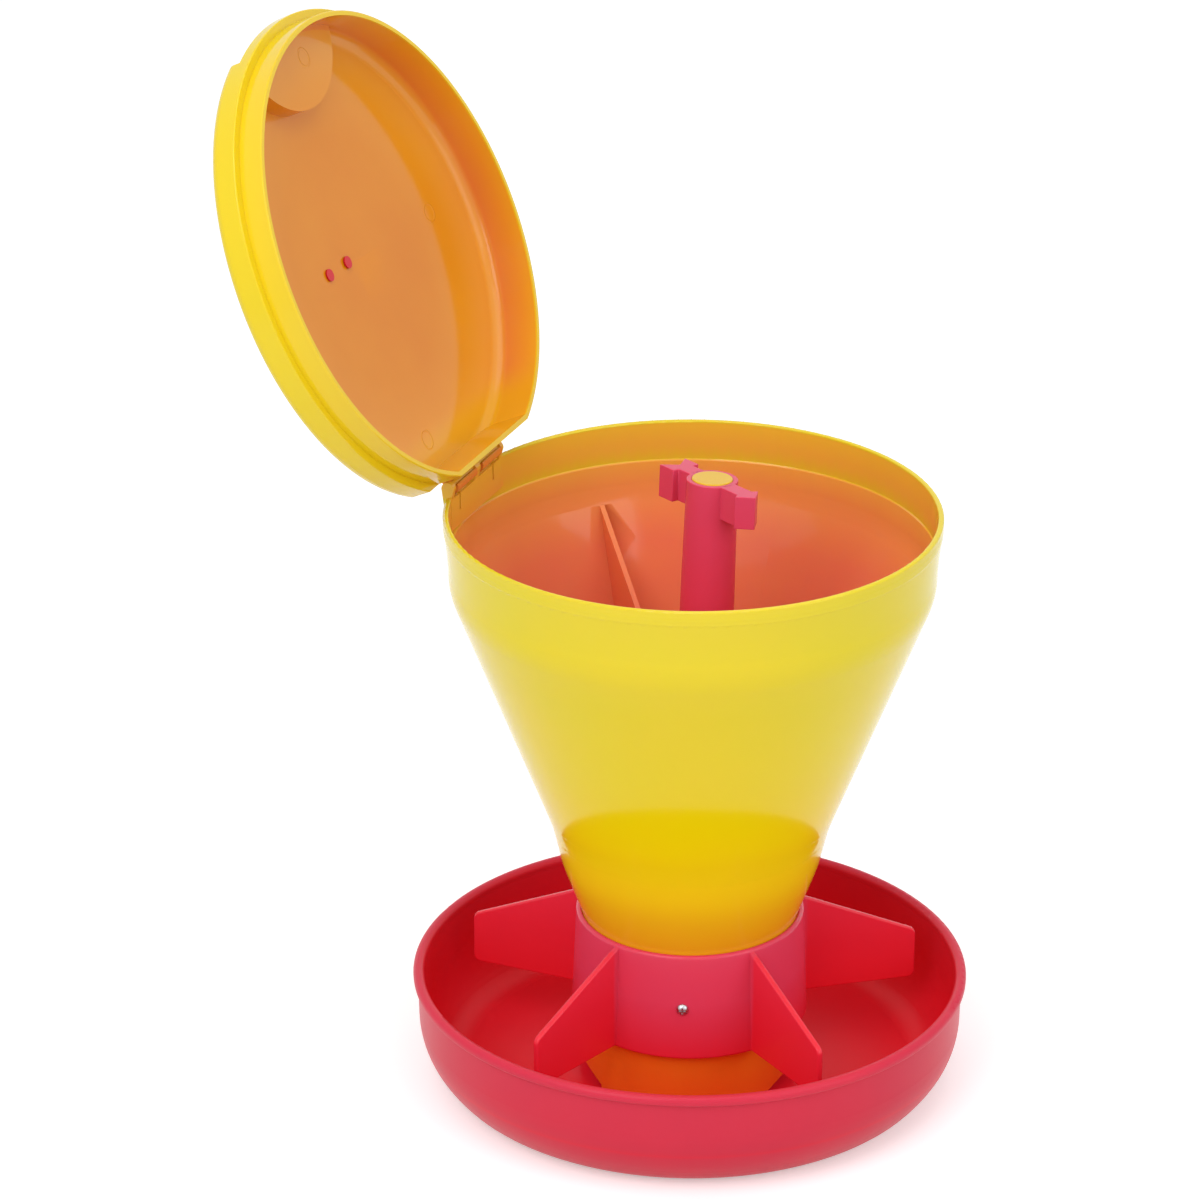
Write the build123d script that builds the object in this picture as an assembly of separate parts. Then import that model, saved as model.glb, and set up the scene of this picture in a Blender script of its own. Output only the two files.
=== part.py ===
from build123d import *
import math
import os

# Piglet hopper feeder, in millimetres. +Z is up, the origin is the middle of the
# pan's underside, the lid's hinge is at the back (+Y) and its finger recess at the front.

# Pan
pan_height = 55.0
pan_lip_radius = 135.0
pan_lip_width = 6.0
pan_lip_depth = 4.6
pan_wall_radius = 131.9
pan_wall = 3.0
pan_bend_radius = 117.0
pan_bend_height = 19.0
pan_low_rounding = 18.0
pan_high_rounding = 37.0

# Spreader cone on the pan floor, with the socket for the lock shaft
spreader_foot_radius = 46.0
spreader_foot_edge = 2.5
spreader_top_radius = 24.0
spreader_top_height = 46.0
spreader_wall = 2.5
socket_bore_radius = 15.0
socket_foot_height = 26.0
key_slot_reach = 20.0
key_slot_width = 9.0
cone_screw_count = 3
cone_screw_distance = 32.0
cone_screw_first_angle = 30.0
cone_screw_head_radius = 3.2
cone_screw_recess = 1.6
cone_screw_post_radius = 4.0

# Hopper
rim_height = 293.8
rim_radius = 117.5
rim_bead_height = 7.5
hopper_wall = 2.6
band_radius = 115.9
band_foot_radius = 115.2
band_foot_height = 257.5
cone_low_radius = 67.5
cone_low_height = 135.0
bowl_radius = 62.2
bowl_height = 113.0
neck_top_radius = 52.6
neck_foot_radius = 53.6
neck_top_height = 87.0
inner_step_drop = 20.0
inner_step_depth = 0.6
outlet_width = 42.0
outlet_height = 7.0

# Webs inside the hopper
web_count = 3
web_first_angle = 45.0
web_thickness = 2.5
web_top_height = 254.0
web_inner_radius = 27.0
web_inner_top_height = 186.0
web_foot_height = 150.0

# Divider ring with its fins
ring_foot_height = 33.0
ring_top_height = 87.0
ring_bore_top_radius = 52.75
ring_bore_foot_radius = 53.4
ring_top_radius = 55.2
ring_foot_radius = 57.5
fin_count = 5
fin_first_angle = 90.0
fin_thickness = 3.0
fin_reach = 114.5
fin_tip_height = 60.0
fin_root_height = 86.0

# Screws that hold the ring to the neck, in three of the five pockets
screw_angles = (198.0, 342.0, 54.0)
screw_height = 59.5
screw_head_radius = 2.85
screw_head_height = 1.7
screw_shank_radius = 1.45
screw_length = 11.0
screw_hole_radius = 1.55
screw_seat_gap = 0.2

# Hinge bar at the back of the rim
hinge_distance = 112.8
hinge_height = rim_height + 4.5
hinge_bar_radius = 2.0
hinge_play = 0.06
hinge_half_width = 26.6
cheek_thickness = 2.9
middle_cheek_half = 2.5
cheek_radius = 3.2
flat_inner_distance = 110.8
flat_drop = 14.0
flat_half_width = 29.5
slit_offset = 19.5
slit_width = 1.2
slit_depth = 9.0

# Lid, given closed and then swung open about the hinge bar
lid_open_angle = 115.0
lid_plug_depth = 11.9
lid_seat_gap = 0.4
lid_skirt_radius = 114.2
lid_skirt_foot_radius = 113.8
lid_skirt_inner_radius = 111.6
lid_band_radius = 118.4
lid_shoulder_rise = 26.0
lid_crown = 2.5
lid_wall = 2.4
lid_shoulder_rounding = 5.0
lid_inner_rounding = 6.0
lid_flat_distance = 106.5
recess_radius = 43.0
recess_centre = 120.0
recess_floor_rise = 18.0
clip_outer_radius = 4.0
clip_near = 6.0
clip_far = 22.0
plug_places = ((-13.5, -2.3), (-33.0, -2.4))
plug_radius = 3.0

# Lock shaft, which leans in its loose socket
shaft_pivot_height = 20.0
shaft_lean = 3.14
shaft_lean_direction = -13.3
shaft_radius = 12.9
shaft_top_radius = 12.2
shaft_taper_height = 246.0
shaft_top = 305.4
shaft_bore_radius = 10.4
shaft_foot_height = 4.4
handle_height = 15.5
handle_angle = 70.4
handle_reach = 26.0
handle_end_width = 13.0
handle_web_width = 8.6
handle_notch = 5.0
cap_radius = 9.7
cap_seat_depth = 2.4
cap_proud = 0.5
lug_reach = 18.8
lug_width = 7.0
lug_foot_height = 17.0
lug_top_height = 23.0


def section(corners):
    """Closed outline in the X-Z plane. A corner is (radius, height) or (radius, height, rounding)."""
    face = make_face(Polyline(*[(c[0], c[1]) for c in corners], close=True))
    for c in corners:
        if len(c) == 3:
            face = fillet(face.vertices().sort_by_distance((c[0], c[1]))[0], c[2])
    return Plane.XZ * face


def turned(corners):
    """Solid of revolution about the vertical axis."""
    return revolve(section(corners), axis=Axis.Z)


def block(low, high):
    """Box between two opposite corners."""
    size = [high[i] - low[i] for i in range(3)]
    middle = [(high[i] + low[i]) / 2 for i in range(3)]
    return Pos(*middle) * Box(*size)


def around(shape, angle):
    """The shape turned about the vertical axis."""
    return Rot(0, 0, angle) * shape


def upright_plate(corners, thickness):
    """Radial plate along +X, standing on the X-Z plane."""
    return extrude(section(corners), amount=thickness / 2, both=True)


def make_pan():
    """Round dish with a rolled lip; three recessed holes in its floor take the cone's screws."""
    inner_bend = pan_bend_radius - 0.487 * pan_wall
    inner_bend_height = pan_bend_height + 0.345 * pan_wall
    pan = turned([
        (0.0, 0.0),
        (pan_bend_radius, 0.0, pan_low_rounding),
        (pan_wall_radius, pan_bend_height, pan_high_rounding),
        (pan_wall_radius + 0.6, pan_height - pan_lip_depth, 0.8),
        (pan_lip_radius - 0.4, pan_height - pan_lip_depth, 1.2),
        (pan_lip_radius, pan_height, 2.6),
        (pan_lip_radius - pan_lip_width, pan_height, 2.6),
        (pan_wall_radius + 0.6 - pan_wall, pan_height - pan_lip_depth, 2.0),
        (pan_wall_radius - pan_wall, inner_bend_height, pan_high_rounding - pan_wall),
        (inner_bend, pan_wall, pan_low_rounding - pan_wall),
        (0.0, pan_wall),
    ])
    for place in cone_screw_places():
        pan -= place * Cylinder(screw_hole_radius + 0.3, 4 * pan_wall)
        pan -= place * Cylinder(cone_screw_head_radius + 0.3, 2 * cone_screw_recess)
    return pan


def cone_screw_places():
    step = 360.0 / cone_screw_count
    return [Rot(0, 0, cone_screw_first_angle + k * step) * Pos(cone_screw_distance, 0, 0)
            for k in range(cone_screw_count)]


def make_spreader_cone():
    """Hollow cone that sends the feed outward, with a keyed socket for the shaft's foot."""
    inner_foot = spreader_foot_radius - spreader_wall * 1.2
    inner_top = spreader_top_height - spreader_wall
    cone = turned([
        (inner_foot, pan_wall),
        (spreader_foot_radius, pan_wall, 0.5),
        (spreader_foot_radius, pan_wall + spreader_foot_edge, 1.0),
        (spreader_top_radius, spreader_top_height, 2.5),
        (socket_bore_radius, spreader_top_height, 1.0),
        (socket_bore_radius, socket_foot_height, 0.4),
        (spreader_top_radius - 1.5, socket_foot_height, 0.4),
        (spreader_top_radius - 1.5, inner_top - 4.0, 0.8),
        (inner_foot, pan_wall + spreader_foot_edge, 1.0),
    ])
    slot = block((-key_slot_reach, -key_slot_width / 2, socket_foot_height - 1),
                 (key_slot_reach, key_slot_width / 2, spreader_top_height + 1))
    envelope = turned([(0.0, pan_wall), (spreader_foot_radius - 1.0, pan_wall),
                       (spreader_top_radius - 1.0, spreader_top_height - 1.0),
                       (0.0, spreader_top_height - 1.0)])
    posts = None
    for place in cone_screw_places():
        post = place * Cylinder(cone_screw_post_radius, spreader_top_height,
                                align=(Align.CENTER, Align.CENTER, Align.MIN))
        posts = post if posts is None else posts + post
    cone += posts & envelope
    for place in cone_screw_places():
        cone -= place * Cylinder(screw_hole_radius, 2 * (pan_wall + screw_length))
    return cone - around(slot, handle_angle + 90.0)


def make_cone_screws():
    """Flat-head screws from below, with their heads inside the pan's floor."""
    screws = []
    for place in cone_screw_places():
        head = Pos(0, 0, 0.2) * Cylinder(cone_screw_head_radius, cone_screw_recess - 0.25,
                                         align=(Align.CENTER, Align.CENTER, Align.MIN))
        shank = Pos(0, 0, 0.4) * Cylinder(screw_shank_radius, screw_length,
                                          align=(Align.CENTER, Align.CENTER, Align.MIN))
        cross = Box(3.4, 0.8, 1.8) + Box(0.8, 3.4, 1.8)
        screws.append((place * (head + shank - cross)).solid())
    return Compound(children=screws)


def hopper_outside():
    """Outer outline of the hopper, from the foot of the neck up to the rim."""
    return [
        (neck_foot_radius, pan_wall),
        (neck_top_radius, neck_top_height, 14.0),
        (bowl_radius, bowl_height, 90.0),
        (cone_low_radius, cone_low_height, 6.0),
        (band_foot_radius, band_foot_height, 35.0),
        (band_radius, rim_height - rim_bead_height - 1.5, 3.0),
        (rim_radius, rim_height - rim_bead_height, 2.0),
        (rim_radius, rim_height, 1.1),
    ]


def hopper_inside():
    """Inner outline of the hopper, from the rim down to the foot of the neck."""
    mouth = rim_radius - hopper_wall - 0.1
    step = rim_height - inner_step_drop
    return [
        (mouth, rim_height, 0.9),
        (mouth, step, 0.3),
        (mouth - inner_step_depth, step - 0.8, 0.4),
        (band_foot_radius - hopper_wall, band_foot_height + 0.5, 32.4),
        (cone_low_radius - hopper_wall - 0.2, cone_low_height, 8.0),
        (bowl_radius - hopper_wall - 0.1, bowl_height, 87.4),
        (neck_top_radius - hopper_wall, neck_top_height + 0.4, 16.0),
        (neck_foot_radius - hopper_wall, pan_wall),
    ]


def mid_wall():
    """Solid bounded by the middle of the hopper's wall, to cut what is joined to its inside."""
    shift = hopper_wall / 2
    outline = [(c[0] + shift,) + tuple(c[1:]) for c in hopper_inside()]
    return turned([(0.0, rim_height)] + outline + [(0.0, pan_wall)])


def web_plate():
    """One web along +X, cut to the hopper's wall by the caller."""
    wall = rim_radius + 1.0
    return upright_plate([
        (web_inner_radius, web_foot_height, 2.0),
        (wall, web_foot_height),
        (wall, web_top_height + 6.0),
        (web_inner_radius, web_inner_top_height, 3.0),
    ], web_thickness)


def hinge_cheek(middle, width):
    """Upright plate that carries the hinge bar, with a round top."""
    ledge = rim_height - flat_drop
    flat_outer = flat_inner_distance + hopper_wall
    plate = extrude(Plane.YZ * make_face(Polyline(
        (flat_inner_distance + 0.4, rim_height - 2.0),
        (flat_inner_distance + 0.4, ledge + 4.0),
        (flat_outer + 0.6, ledge + 4.0),
        (hinge_distance + cheek_radius, hinge_height),
        (hinge_distance - cheek_radius, hinge_height),
        close=True)), amount=width / 2, both=True)
    top = Pos(0, hinge_distance, hinge_height) * (Rot(0, 90, 0) * Cylinder(cheek_radius, width))
    return Pos(middle, 0, 0) * (plate + top)


def hinge_seat():
    """Flat wall, ledge, cheeks and bar that carry the lid at the back of the rim."""
    flat_outer = flat_inner_distance + hopper_wall
    ledge = rim_height - flat_drop
    seat = block((-flat_half_width, flat_inner_distance, ledge - hopper_wall),
                 (flat_half_width, flat_outer, rim_height))
    seat += block((-flat_half_width, flat_outer - 1, ledge - hopper_wall),
                  (flat_half_width, rim_radius, ledge)) & mid_wall()
    seat -= block((-hinge_half_width, flat_inner_distance - 1, rim_height - 0.8),
                  (hinge_half_width, flat_outer + 1, rim_height + 1))
    outer_cheek = hinge_half_width + cheek_thickness / 2
    seat += hinge_cheek(-outer_cheek, cheek_thickness)
    seat += hinge_cheek(0.0, 2 * middle_cheek_half)
    seat += hinge_cheek(outer_cheek, cheek_thickness)
    seat += Pos(0, hinge_distance, hinge_height) * (
        Rot(0, 90, 0) * Cylinder(hinge_bar_radius, 2 * hinge_half_width + 1.0))
    for side in (-1, 1):
        seat -= block((side * slit_offset - slit_width / 2, flat_inner_distance - 1, rim_height - slit_depth),
                      (side * slit_offset + slit_width / 2, flat_outer + 1, rim_height + 1))
    return seat


def make_hopper():
    hopper = turned(hopper_outside() + hopper_inside())
    flat_outer = flat_inner_distance + hopper_wall
    hopper -= block((-flat_half_width - 12, flat_outer, rim_height - flat_drop),
                    (flat_half_width + 12, rim_radius + 2, rim_height + 2))
    core = mid_wall()
    for k in range(web_count):
        hopper += around(web_plate(), web_first_angle + k * 360.0 / web_count) & core
    hopper += hinge_seat()
    outlet = Pos(neck_foot_radius, 0, pan_wall) * (
        Rot(0, 90, 0) * extrude(make_face(outlet_outline()), amount=8.0, both=True))
    for k in range(fin_count):
        hopper -= around(outlet, fin_first_angle + (k + 0.5) * 360.0 / fin_count)
    for angle in screw_angles:
        hopper -= screw_hole(angle)
    return hopper


def outlet_outline():
    """Low arch through which the feed runs out, drawn flat with its height along -X."""
    half = outlet_width / 2
    return [
        Line((1.0, -half), (1.0, half)),
        Line((1.0, half), (-2.0, half)),
        ThreePointArc((-2.0, half), (-outlet_height, 0), (-2.0, -half)),
        Line((-2.0, -half), (1.0, -half)),
    ]


def screw_hole(angle):
    return around(Pos(neck_top_radius, 0, screw_height) * (Rot(0, 90, 0) * Cylinder(screw_hole_radius, 16.0)), angle)


def make_divider_ring():
    ring = turned([
        (ring_bore_foot_radius, ring_foot_height, 0.6),
        (ring_foot_radius, ring_foot_height, 1.2),
        (ring_top_radius, ring_top_height, 1.6),
        (ring_bore_top_radius, ring_top_height, 0.8),
    ])
    fin = upright_plate([
        (ring_bore_foot_radius + 1.4, ring_foot_height + 0.4),
        (fin_reach, ring_foot_height + 1.0, 3.5),
        (fin_reach, fin_tip_height, 4.0),
        (ring_bore_foot_radius + 1.4, fin_root_height),
    ], fin_thickness)
    rims = [e for e in fin.edges() if e.center().X > ring_bore_foot_radius + 2.5 and abs(e.center().Y) > 1.0]
    fin = fillet(rims, 1.0)
    for k in range(fin_count):
        ring += around(fin, fin_first_angle + k * 360.0 / fin_count)
    for angle in screw_angles:
        ring -= screw_hole(angle)
    return ring


def make_screw():
    """Round-head screw with a cross recess, along +X with its head's seat at the origin."""
    head = revolve(Plane.XZ * make_face([
        Line((0, 0), (screw_head_radius, 0)),
        Line((screw_head_radius, 0), (screw_head_radius, 0.4)),
        ThreePointArc((screw_head_radius, 0.4), (screw_head_radius * 0.72, 1.3), (0, screw_head_height)),
        Line((0, screw_head_height), (0, 0)),
    ]), axis=Axis.Z)
    shank = Cylinder(screw_shank_radius, screw_length, align=(Align.CENTER, Align.CENTER, Align.MAX))
    shank = chamfer(shank.edges().group_by(Axis.Z)[0], 0.8)
    cross = Box(3.2, 0.7, 1.4) + Box(0.7, 3.2, 1.4)
    return Rot(0, 90, 0) * (head + shank - Pos(0, 0, screw_head_height) * cross)


def make_ring_screws():
    seat_share = (screw_height - ring_foot_height) / (ring_top_height - ring_foot_height)
    seat_radius = ring_foot_radius + (ring_top_radius - ring_foot_radius) * seat_share + screw_seat_gap
    screw = Pos(seat_radius, 0, screw_height) * make_screw()
    return Compound(children=[around(screw, angle).solid() for angle in screw_angles])


def lid_section(outer):
    """Half section of the lid's outer form or of its hollow, on the axis and closed."""
    base = rim_height + lid_seat_gap - lid_plug_depth
    if outer:
        shoulder = base + lid_shoulder_rise
        edge = lid_band_radius
        below = [
            (lid_band_radius, base + lid_plug_depth),
            (lid_skirt_radius, base + lid_plug_depth),
            (lid_skirt_foot_radius, base),
            (0.0, base),
        ]
    else:
        shoulder = base + lid_shoulder_rise - lid_wall
        edge = lid_skirt_inner_radius
        below = [(lid_skirt_inner_radius - 0.2, base - 1.0), (0.0, base - 1.0)]
    crown = lid_crown
    top = shoulder + crown
    dome_radius = (edge ** 2 + crown ** 2) / (2 * crown)
    half_way = edge / 2
    half_height = top - dome_radius + math.sqrt(dome_radius ** 2 - half_way ** 2)
    edges = [ThreePointArc((0, top), (half_way, half_height), (edge, shoulder))]
    points = [(edge, shoulder)] + below + [(0.0, top)]
    for a, b in zip(points, points[1:]):
        edges.append(Line(a, b))
    face = make_face(edges)
    rounding = lid_shoulder_rounding if outer else lid_inner_rounding
    face = fillet(face.vertices().sort_by_distance((edge, shoulder))[0], rounding)
    if outer:
        face = fillet(face.vertices().sort_by_distance((lid_skirt_foot_radius, base))[0], 0.6)
        face = fillet(face.vertices().sort_by_distance((lid_band_radius, base + lid_plug_depth))[0], 0.5)
    return Plane.XZ * face


def lid_swing(shape):
    """Closed lid to open lid: a turn about the hinge bar that lifts the front edge."""
    bar = Axis((0, hinge_distance, hinge_height), (1, 0, 0))
    return shape.rotate(bar, -lid_open_angle)


def closed_lid():
    base = rim_height + lid_seat_gap - lid_plug_depth
    big = 2 * lid_band_radius
    outer = revolve(lid_section(True), axis=Axis.Z)
    hollow = revolve(lid_section(False), axis=Axis.Z)
    outer -= block((-big, lid_flat_distance, base - 5), (big, big, base + 60))
    hollow -= block((-big, lid_flat_distance - lid_wall, base - 5), (big, big, base + 60))
    scoop = Pos(0, -recess_centre, base + recess_floor_rise + 30) * Cylinder(recess_radius, 60.0)
    plateau = Pos(0, -recess_centre, base + recess_floor_rise - lid_wall + 30) * Cylinder(
        recess_radius + lid_wall, 60.0)
    lid = (outer - scoop) - (hollow - plateau)
    groove = turned([
        (lid_skirt_radius + 1.1, base + lid_plug_depth - 0.1),
        (lid_skirt_radius + 2.7, base + lid_plug_depth - 0.1),
        (lid_skirt_radius + 2.7, base + lid_plug_depth + 6.0),
        (lid_skirt_radius + 1.1, base + lid_plug_depth + 6.0),
    ])
    groove -= block((-big, lid_flat_distance - lid_wall, base - 5), (big, big, base + 60))
    lid -= groove
    return lid + hinge_clip() - plug_holes()


def hinge_clip():
    """Two open C forms that snap round the hinge bar, on short arms from the lid's flat wall."""
    length = clip_far - clip_near
    ring = Rot(0, 90, 0) * Cylinder(clip_outer_radius, length)
    arm = block((-length / 2, lid_flat_distance - hinge_distance - 1.0, -3.4),
                (length / 2, 0, 3.4))
    bore = Rot(0, 90, 0) * Cylinder(hinge_bar_radius + hinge_play, length + 2)
    mouth = Rot(-30, 0, 0) * block((-length, -1.7, -10), (length, 1.7, 0))
    clip = ring + arm - bore - mouth
    middle = (clip_near + clip_far) / 2
    right = Pos(middle, hinge_distance, hinge_height) * clip
    left = Pos(-middle, hinge_distance, hinge_height) * clip
    return right + left


def lid_plate_top():
    return rim_height + lid_seat_gap - lid_plug_depth + lid_shoulder_rise + lid_crown


def plug_holes():
    holes = None
    for x, y in plug_places:
        hole = Pos(x, y, lid_plate_top()) * Cylinder(plug_radius - 0.6, 12.0)
        holes = hole if holes is None else holes + hole
    return holes


def make_lid_plugs():
    """Small round plugs: a stem in the hole, a flat head outside and a wider end inside."""
    plugs = []
    for x, y in plug_places:
        drop = 0.12
        plug = Cylinder(plug_radius - 0.65, lid_wall + 0.6)
        plug += Pos(0, 0, lid_wall / 2 + 0.3 + 0.5) * Cylinder(plug_radius + 0.6, 1.0)
        plug += Pos(0, 0, -lid_wall / 2 - 0.3 - 0.4) * Cylinder(plug_radius, 0.8)
        plugs.append(lid_swing(Pos(x, y, lid_plate_top() - lid_wall / 2 - drop) * plug).solid())
    return Compound(children=plugs)


def lean(shape):
    """Upright shaft to leaning shaft, about a point low in its socket."""
    side = math.radians(shaft_lean_direction)
    axle = Axis((0, 0, shaft_pivot_height), (-math.sin(side), math.cos(side), 0))
    return shape.rotate(axle, shaft_lean)


def handle_arm():
    """One arm of the T-handle along +X: a narrow web that widens to a notched end."""
    plan = make_face(Polyline(
        (shaft_top_radius - 2.0, -handle_web_width / 2),
        (shaft_top_radius + 4.5, -handle_web_width / 2),
        (handle_reach, -handle_end_width / 2),
        (handle_reach - handle_notch, 0),
        (handle_reach, handle_end_width / 2),
        (shaft_top_radius + 4.5, handle_web_width / 2),
        (shaft_top_radius - 2.0, handle_web_width / 2),
        close=True))
    return Pos(0, 0, shaft_top - handle_height) * extrude(plan, amount=handle_height)


def make_lock_shaft():
    """Tube with the T-handle at its top and two locking lugs low in the socket."""
    tube = turned([
        (shaft_bore_radius, shaft_foot_height, 0.5),
        (shaft_radius, shaft_foot_height, 0.8),
        (shaft_radius, shaft_taper_height),
        (shaft_top_radius, shaft_top, 0.7),
        (cap_radius + 0.05, shaft_top, 0.3),
        (cap_radius + 0.05, shaft_top - cap_seat_depth),
        (shaft_bore_radius - 1.6, shaft_top - cap_seat_depth),
        (shaft_bore_radius - 1.6, shaft_top - cap_seat_depth - 8.0),
        (shaft_bore_radius, shaft_top - cap_seat_depth - 10.0),
    ])
    arms = around(handle_arm(), handle_angle) + around(handle_arm(), handle_angle + 180.0)
    arms = chamfer(arms.edges().group_by(Axis.Z)[-1], 0.7)
    lugs = block((-lug_reach, -lug_width / 2, lug_foot_height), (lug_reach, lug_width / 2, lug_top_height))
    lugs = fillet(lugs.edges().filter_by(Axis.Z), 1.5)
    hollow = Pos(0, 0, shaft_top / 2) * Cylinder(shaft_top_radius - 1.2, 2 * shaft_top)
    return lean(tube + (arms - hollow) + (around(lugs, handle_angle) - hollow))


def make_shaft_cap():
    disc = Cylinder(cap_radius, cap_seat_depth + cap_proud - 0.05, align=(Align.CENTER, Align.CENTER, Align.MIN))
    disc = fillet(disc.edges().group_by(Axis.Z)[-1], 0.6)
    stem = Pos(0, 0, -6.0) * Cylinder(shaft_bore_radius - 1.7, 6.0, align=(Align.CENTER, Align.CENTER, Align.MIN))
    return lean(Pos(0, 0, shaft_top - cap_seat_depth + 0.02) * (disc + stem))


nodes = {
    "pan": make_pan(),
    "spreader_cone": make_spreader_cone(),
    "cone_screws": make_cone_screws(),
    "hopper": make_hopper(),
    "divider_ring": make_divider_ring(),
    "ring_screws": make_ring_screws(),
    "lid": lid_swing(closed_lid()),
    "lid_plugs": make_lid_plugs(),
    "lock_shaft": make_lock_shaft(),
    "shaft_cap": make_shaft_cap(),
}

os.makedirs("parts", exist_ok=True)
for name, shape in nodes.items():
    export_step(shape, f"parts/{name}.step")
    print(name, len(shape.solids()), round(shape.volume / 1000.0, 1), "cm3")
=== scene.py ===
# %% [markdown]
# Piglet hopper feeder.
# A red pan carries a yellow hopper, a red ring with five fins, a hinged yellow lid and a loose
# red shaft with a handle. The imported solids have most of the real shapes, so this lesson mostly
# gives them their look: moulded plastic, the tints that one colour throws on the next, small
# moulding marks, and the soft light of a product photograph.

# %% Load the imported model
import math

import bmesh
import bpy
from mathutils import Matrix, Vector


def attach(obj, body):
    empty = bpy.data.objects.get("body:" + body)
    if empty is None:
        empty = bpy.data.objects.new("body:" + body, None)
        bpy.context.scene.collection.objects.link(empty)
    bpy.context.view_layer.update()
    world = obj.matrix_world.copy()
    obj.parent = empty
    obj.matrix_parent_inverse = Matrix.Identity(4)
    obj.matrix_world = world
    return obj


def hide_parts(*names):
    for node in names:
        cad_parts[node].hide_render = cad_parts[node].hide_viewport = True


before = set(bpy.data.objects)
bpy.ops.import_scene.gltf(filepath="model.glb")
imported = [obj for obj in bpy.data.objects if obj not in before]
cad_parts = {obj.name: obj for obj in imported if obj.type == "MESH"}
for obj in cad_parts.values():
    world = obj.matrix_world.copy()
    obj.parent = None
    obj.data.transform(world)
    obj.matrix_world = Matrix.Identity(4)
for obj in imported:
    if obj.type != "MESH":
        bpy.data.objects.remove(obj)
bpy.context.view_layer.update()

print("nodes:", ", ".join(sorted(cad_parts)))

# %% [markdown]
# Colours are easiest to pick on a screen, from 0 to 255. The shader calculates with light, so each
# colour is turned into linear values once, in one helper. The numbers in it are those of the sRGB
# standard.

# %% Units and colours
MM = 0.001


def srgb(r, g, b):
    """A colour picked from 0 to 255, as the linear values that the shader wants."""
    def linear(v):
        v = v / 255
        return v / 12.92 if v <= 0.04045 else ((v + 0.055) / 1.055) ** 2.4
    return (linear(r), linear(g), linear(b), 1.0)


print("lemon yellow as light:", [round(v, 3) for v in srgb(230, 206, 20)[:3]])

# %% [markdown]
# The materials below are graphs of small nodes. Written out one by one, such a graph hides what
# it says. So a few helpers make a node, connect it and hand back its output, and a line of code
# then reads like the sum that it stands for. The first three do arithmetic.

# %% Arithmetic in a node graph
def put(tree, socket, value):
    """Connects an output to the socket, or sets the socket to a plain value."""
    if isinstance(value, bpy.types.NodeSocket):
        tree.links.new(value, socket)
    else:
        socket.default_value = value


def calc(tree, operation, a, b=0.0):
    """One step of arithmetic on numbers."""
    node = tree.nodes.new("ShaderNodeMath")
    node.operation = operation
    put(tree, node.inputs[0], a)
    put(tree, node.inputs[1], b)
    return node.outputs["Value"]


def remap(tree, value, low, high, to_low=0.0, to_high=1.0, smooth=False):
    """Stretches the range low to high onto another range, and holds it at both ends."""
    node = tree.nodes.new("ShaderNodeMapRange")
    node.interpolation_type = "SMOOTHSTEP" if smooth else "LINEAR"
    put(tree, node.inputs["Value"], value)
    node.inputs["From Min"].default_value = low
    node.inputs["From Max"].default_value = high
    node.inputs["To Min"].default_value = to_low
    node.inputs["To Max"].default_value = to_high
    return node.outputs["Result"]


print("arithmetic: put, calc, remap")

# %% [markdown]
# Each side of a wall, or each zone of a piece, gets its own tint. A zone is a number in the graph
# that is 1 within and 0 outside. Zones are made from soft comparisons, so that no hard line
# shows in the plastic, and they are combined by multiplying.

# %% Zones
EDGE_SOFTNESS = 0.4 * MM


def below(tree, value, edge, softness=EDGE_SOFTNESS):
    """1 where the value is below the edge, 0 above it, with a soft change between."""
    return remap(tree, calc(tree, "SUBTRACT", edge, value), -softness, softness, smooth=True)


def outside(tree, zone):
    return calc(tree, "SUBTRACT", 1.0, zone)


def above(tree, value, edge):
    return outside(tree, below(tree, value, edge))


def both(tree, first, second):
    """1 where both are 1."""
    return calc(tree, "MULTIPLY", first, second)


print("zones: below, above, outside, both, with edges soft over", 2 * EDGE_SOFTNESS / MM, "mm")

# %% [markdown]
# A mix node chooses between two numbers, colours or directions by a share. A ramp gives a
# different colour at each place along a length. The noise node gives the small unevenness that
# keeps a surface from looking drawn.

# %% Mixes, ramps and noise
def mix(tree, kind, share, first, second):
    """The first value at a share of 0, the second at 1. kind is FLOAT, RGBA or VECTOR."""
    node = tree.nodes.new("ShaderNodeMix")
    node.data_type = kind
    put(tree, node.inputs["Factor"], share)
    put(tree, node.inputs["A"], first)
    put(tree, node.inputs["B"], second)
    return node.outputs["Result"]


def ramp(tree, value, stops):
    """Colours along a length. Each stop is a place in mm and the colour there, from 0 to 255."""
    first, last = stops[0][0] * MM, stops[-1][0] * MM
    node = tree.nodes.new("ShaderNodeValToRGB")
    put(tree, node.inputs["Fac"], remap(tree, value, first, last))
    elements = node.color_ramp.elements
    for place, _ in stops[1:-1]:
        elements.new((place * MM - first) / (last - first))
    for element, (_, colour) in zip(elements, stops):
        element.color = srgb(*colour)
    return node.outputs["Color"]


def noise(tree, place, scale, detail=2.0):
    node = tree.nodes.new("ShaderNodeTexNoise")
    node.inputs["Scale"].default_value = scale
    node.inputs["Detail"].default_value = detail
    put(tree, node.inputs["Vector"], place)
    return node.outputs["Fac"]


print("values: mix, ramp, noise")

# %% [markdown]
# Everything is measured from the piece itself. An object coordinate stays with the piece when the
# lid swings or the shaft turns, so its marks and tints move along.

# %% Places on a piece
def object_place(tree):
    return tree.nodes.new("ShaderNodeTexCoord").outputs["Object"]


def split(tree, vector):
    node = tree.nodes.new("ShaderNodeSeparateXYZ")
    put(tree, node.inputs["Vector"], vector)
    return node.outputs["X"], node.outputs["Y"], node.outputs["Z"]


def distance(tree, a, b):
    """Length of the step that is a one way and b the other."""
    square = calc(tree, "ADD", calc(tree, "MULTIPLY", a, a), calc(tree, "MULTIPLY", b, b))
    return calc(tree, "SQRT", square)


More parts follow.
